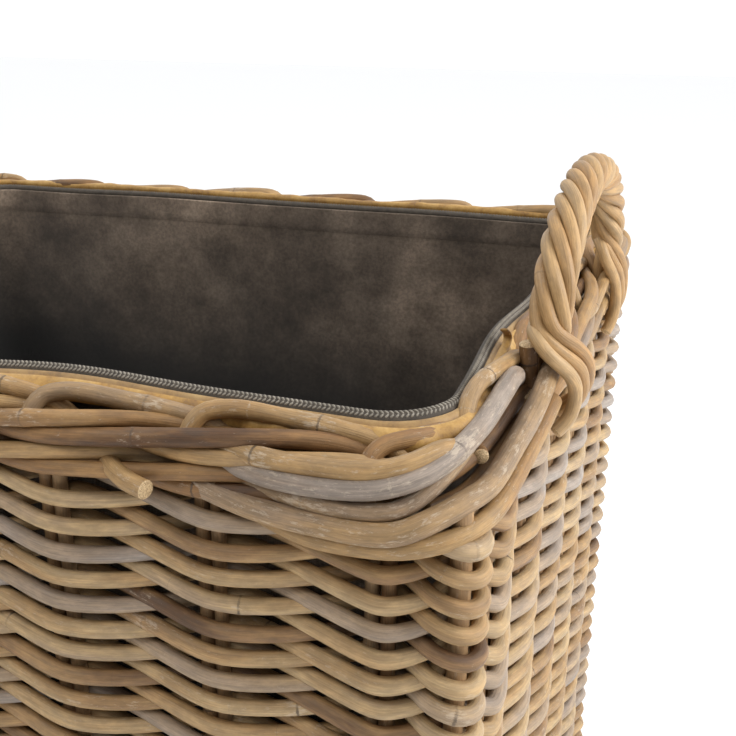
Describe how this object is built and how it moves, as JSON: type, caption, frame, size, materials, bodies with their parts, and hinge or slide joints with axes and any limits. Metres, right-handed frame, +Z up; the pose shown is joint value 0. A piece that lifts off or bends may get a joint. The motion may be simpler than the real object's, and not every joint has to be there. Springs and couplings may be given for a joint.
{
  "type": "wicker log basket",
  "caption": "Rectangular woven rattan log basket with paired upright stakes, a thick rolled border, twisted rope handles and a dark cloth liner.",
  "frame": {"origin": "centre of the foot ring's underside, on the floor", "axes": "+X along the basket's long side, +Y along the short side towards the back, +Z up"},
  "size_m": [0.5244, 0.4258, 0.4747],
  "materials": {
    "rattan_weave": "matt, weathered grey and honey rattan",
    "rattan_stake": "matt, pale straw rattan with lengthwise grain",
    "rattan_border": "satin honey rattan with dark node rings",
    "handle_rattan": "smooth satin peeled rattan",
    "plain_wood": "sawn",
    "canvas": "dark brown cotton canvas",
    "edge_tape": "grey ribbed woven tape",
    "tan_edging": "tan strip with a row of stitch holes"
  },
  "bodies": {
    "root": {"base_slat_1": "plain_wood", "base_slat_2": "plain_wood", "base_slat_3": "plain_wood", "border_back": "rattan_border", "border_front": "rattan_border", "border_left": "rattan_border", "border_right": "rattan_border", "corner_stake_back_left": "rattan_stake", "corner_stake_back_right": "rattan_stake", "corner_stake_front_left": "rattan_stake", "corner_stake_front_right": "rattan_stake", "edging_strip": "tan_edging", "foot_ring": "rattan_weave", "handle_left_strand_1": "handle_rattan", "handle_left_strand_2": "handle_rattan", "handle_left_strand_3": "handle_rattan", "handle_left_strand_4": "handle_rattan", "handle_left_strand_5": "handle_rattan", "handle_left_strand_6": "handle_rattan", "handle_right_strand_1": "handle_rattan", "handle_right_strand_2": "handle_rattan", "handle_right_strand_3": "handle_rattan", "handle_right_strand_4": "handle_rattan", "handle_right_strand_5": "handle_rattan", "handle_right_strand_6": "handle_rattan", "liner": "canvas", "liner_tape": "edge_tape", "lower_weave": "rattan_weave", "stake_pair_back_1": "rattan_stake", "stake_pair_back_2": "rattan_stake", "stake_pair_back_3": "rattan_stake", "stake_pair_back_4": "rattan_stake", "stake_pair_back_5": "rattan_stake", "stake_pair_back_6": "rattan_stake", "stake_pair_back_7": "rattan_stake", "stake_pair_front_1": "rattan_stake", "stake_pair_front_2": "rattan_stake", "stake_pair_front_3": "rattan_stake", "stake_pair_front_4": "rattan_stake", "stake_pair_front_5": "rattan_stake", "stake_pair_front_6": "rattan_stake", "stake_pair_front_7": "rattan_stake", "stake_pair_left_1": "rattan_stake", "stake_pair_left_2": "rattan_stake", "stake_pair_left_3": "rattan_stake", "stake_pair_left_4": "rattan_stake", "stake_pair_left_5": "rattan_stake", "stake_pair_left_6": "rattan_stake", "stake_pair_right_1": "rattan_stake", "stake_pair_right_2": "rattan_stake", "stake_pair_right_3": "rattan_stake", "stake_pair_right_4": "rattan_stake", "stake_pair_right_5": "rattan_stake", "stake_pair_right_6": "rattan_stake", "upper_weave": "rattan_weave", "waling_band": "rattan_weave", "woven_base": "rattan_weave"}
  },
  "joints": []
}
